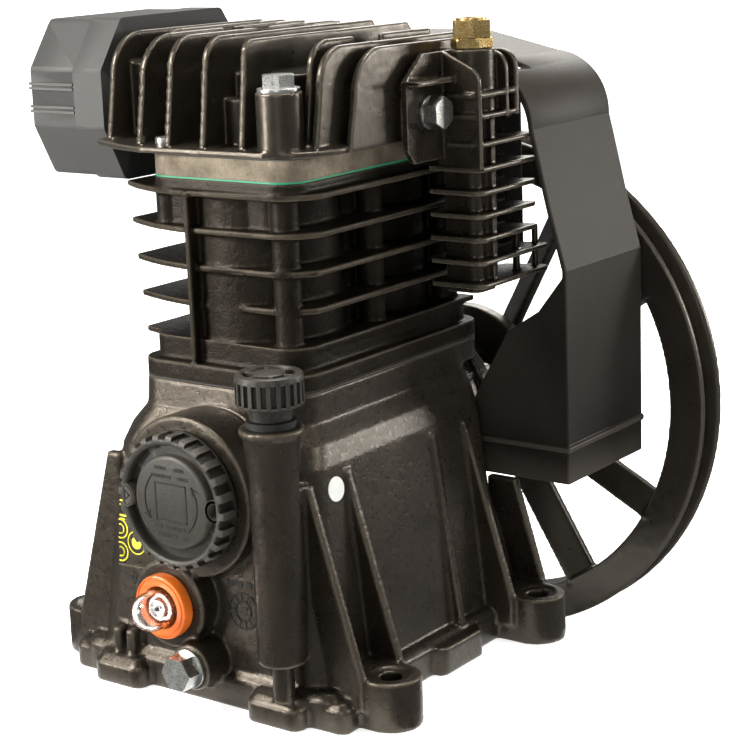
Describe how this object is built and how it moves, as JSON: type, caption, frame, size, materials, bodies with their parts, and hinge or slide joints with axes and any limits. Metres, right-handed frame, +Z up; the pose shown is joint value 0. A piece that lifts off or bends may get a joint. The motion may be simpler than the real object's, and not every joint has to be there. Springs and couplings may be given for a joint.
{
  "type": "belt-driven air compressor pump head",
  "caption": "Belt-driven reciprocating air compressor pump head: finned cylinders on a cast crankcase, spoked V-belt flywheel, intake filter, delivery cooler and air shroud.",
  "frame": {"origin": "centre of the four foot holes, on the underside of the base", "axes": "+Z up along the cylinders, +Y along the crankshaft towards the flywheel, +X away from the intake filter"},
  "size_m": [0.26, 0.2783, 0.3295],
  "materials": {
    "case_black": "rough cast, satin black paint",
    "head_black": "smooth satin black paint",
    "cooler_black": "smooth satin black paint",
    "wheel_black": "satin black paint on cast iron",
    "filter_plastic": "fine texture",
    "shroud_plastic": "fine texture",
    "cap_plastic": "moulded",
    "bare_aluminium": "matte, speckled",
    "piston_aluminium": "machined",
    "zinc_steel": "zinc plated",
    "bright_steel": "ground",
    "forged_iron": "machined cast iron",
    "brass": "turned",
    "green_gasket": "pressed sheet",
    "grey_gasket": "pressed sheet",
    "black_rubber": "moulded",
    "orange_plastic": "moulded",
    "clear_lens": "clear",
    "paper": "pleated paper"
  },
  "bodies": {
    "housing": {"crankcase": "case_black", "rear_cover": "case_black", "rear_cover_gasket": "grey_gasket", "rear_cover_screws": "zinc_steel", "front_bearing_outer": "bright_steel", "rear_bearing_outer": "bright_steel", "shaft_seal": "black_rubber", "base_gasket": "grey_gasket", "cylinder_block": "case_black", "head_gasket_lower": "green_gasket", "valve_plate": "bare_aluminium", "inlet_reeds": "bright_steel", "outlet_reeds": "bright_steel", "outlet_reed_stops": "bright_steel", "head_gasket_upper": "grey_gasket", "cylinder_head": "head_black", "head_bolts": "zinc_steel", "head_bolt_washers": "zinc_steel", "head_corner_screw": "zinc_steel", "discharge_cooler": "cooler_black", "outlet_fitting": "brass", "outlet_nut": "brass", "cooler_bolts": "zinc_steel", "cooler_bolt_washers": "zinc_steel", "filter_body": "filter_plastic", "filter_screws": "zinc_steel", "air_shroud": "shroud_plastic", "shroud_screws": "zinc_steel", "sight_glass_ring": "orange_plastic", "sight_glass_lens": "clear_lens", "sight_glass_backing": "bright_steel", "drain_plug": "zinc_steel", "drain_washer": "zinc_steel"},
    "crank": {"crankshaft": "forged_iron", "bearing_inner_rings": "bright_steel", "flywheel_bolt": "zinc_steel", "flywheel_washer": "zinc_steel"},
    "wheel": {"flywheel": "wheel_black"},
    "front_cap_seal": {"breather_cap_seal": "black_rubber"},
    "front_cap": {"breather_cap": "cap_plastic"},
    "oil_cap_seal": {"filler_cap_seal": "black_rubber"},
    "oil_cap": {"filler_cap": "cap_plastic"},
    "filter_lid": {"filter_cover": "filter_plastic", "filter_element": "paper"},
    "rod_1": {"connecting_rod_1": "piston_aluminium", "rod_cap_1": "piston_aluminium", "rod_bolts_1": "bright_steel", "rod_bearing_1": "bright_steel"},
    "piston_1": {"piston_1": "piston_aluminium", "piston_rings_1": "forged_iron", "piston_pin_1": "bright_steel"},
    "rod_2": {"connecting_rod_2": "piston_aluminium", "rod_cap_2": "piston_aluminium", "rod_bolts_2": "bright_steel", "rod_bearing_2": "bright_steel"},
    "piston_2": {"piston_2": "piston_aluminium", "piston_rings_2": "forged_iron", "piston_pin_2": "bright_steel"}
  },
  "joints": [
    {"name": "crank_turn", "type": "hinge", "parent": "housing", "child": "crank", "pos_m": [0, 0, 0.0943], "axis": [0, 1, 0], "range_deg": [-10, 10]},
    {"name": "rod_1_swing", "type": "hinge", "parent": "crank", "child": "rod_1", "pos_m": [0.02, -0.023, 0.0943], "axis": [0, 1, 0], "range_deg": [-10.5, 10.5]},
    {"name": "rod_2_swing", "type": "hinge", "parent": "crank", "child": "rod_2", "pos_m": [-0.02, 0.041, 0.0943], "axis": [0, 1, 0], "range_deg": [-10.5, 10.5]},
    {"name": "piston_1_stroke", "type": "slide", "parent": "housing", "child": "piston_1", "axis": [0, 0, 1], "range_m": [-0.0036, 0.0036]},
    {"name": "piston_2_stroke", "type": "slide", "parent": "housing", "child": "piston_2", "axis": [0, 0, 1], "range_m": [-0.0036, 0.0036]},
    {"name": "flywheel_spin", "type": "hinge", "parent": "crank", "child": "wheel", "pos_m": [0, 0, 0.0943], "axis": [0, 1, 0], "continuous": true},
    {"name": "front_cap_pull", "type": "slide", "parent": "housing", "child": "front_cap_seal", "axis": [0, -1, 0], "range_m": [0, 0.03]},
    {"name": "front_cap_turn", "type": "hinge", "parent": "front_cap_seal", "child": "front_cap", "pos_m": [0, -0.09, 0.0943], "axis": [0, -1, 0], "range_deg": [0, 90]},
    {"name": "oil_cap_rise", "type": "slide", "parent": "housing", "child": "oil_cap_seal", "axis": [0, 0, 1], "range_m": [0, 0.0075]},
    {"name": "oil_cap_turn", "type": "hinge", "parent": "oil_cap_seal", "child": "oil_cap", "pos_m": [0.051, -0.088, 0.145], "axis": [0, 0, 1], "range_deg": [0, 1085]},
    {"name": "filter_cover_pull", "type": "slide", "parent": "housing", "child": "filter_lid", "axis": [-1, 0, 0], "range_m": [0, 0.06]}
  ],
  "couplings": [
    {"joint": "rod_1_swing", "follows": "crank_turn", "ratio": -1},
    {"joint": "rod_2_swing", "follows": "crank_turn", "ratio": -1},
    {"joint": "piston_1_stroke", "follows": "crank_turn", "m_per_rad": -0.02},
    {"joint": "piston_2_stroke", "follows": "crank_turn", "m_per_rad": 0.02},
    {"joint": "oil_cap_turn", "follows": "oil_cap_rise", "rad_per_m": 2513.3}
  ]
}
